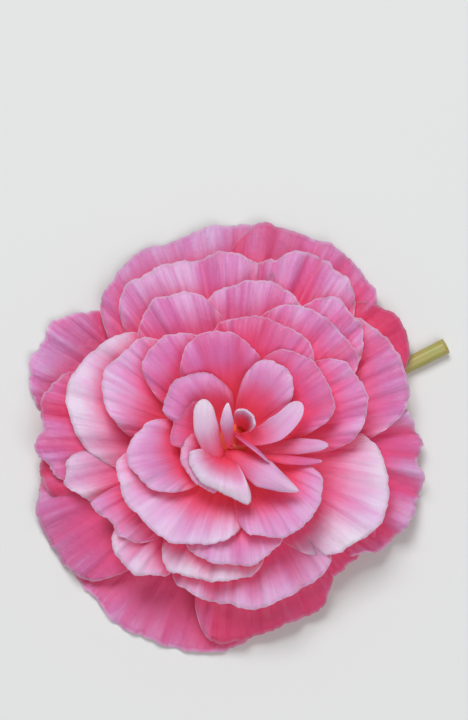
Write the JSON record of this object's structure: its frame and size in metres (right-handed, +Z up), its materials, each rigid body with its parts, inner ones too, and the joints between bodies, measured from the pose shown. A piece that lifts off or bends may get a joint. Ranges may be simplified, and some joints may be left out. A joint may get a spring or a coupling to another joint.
{
  "type": "double begonia bloom",
  "caption": "Double begonia bloom with ruffled, layered pink petals round a folded heart and a short cut stalk, lying face up.",
  "frame": {"origin": "middle of the whole footprint, on the surface that the bloom lies on", "axes": "+Z up along the bloom's own axis, +X to the right and +Y to the top of the bloom as the picture shows it"},
  "size_m": [0.1203, 0.123, 0.0434],
  "materials": {
    "petals": "soft matt petal, light veins and pale margins",
    "stalk": "fleshy, slightly glossy plant stalk"
  },
  "bodies": {
    "root": {"petals": "petals", "stalk": "stalk"}
  },
  "joints": []
}
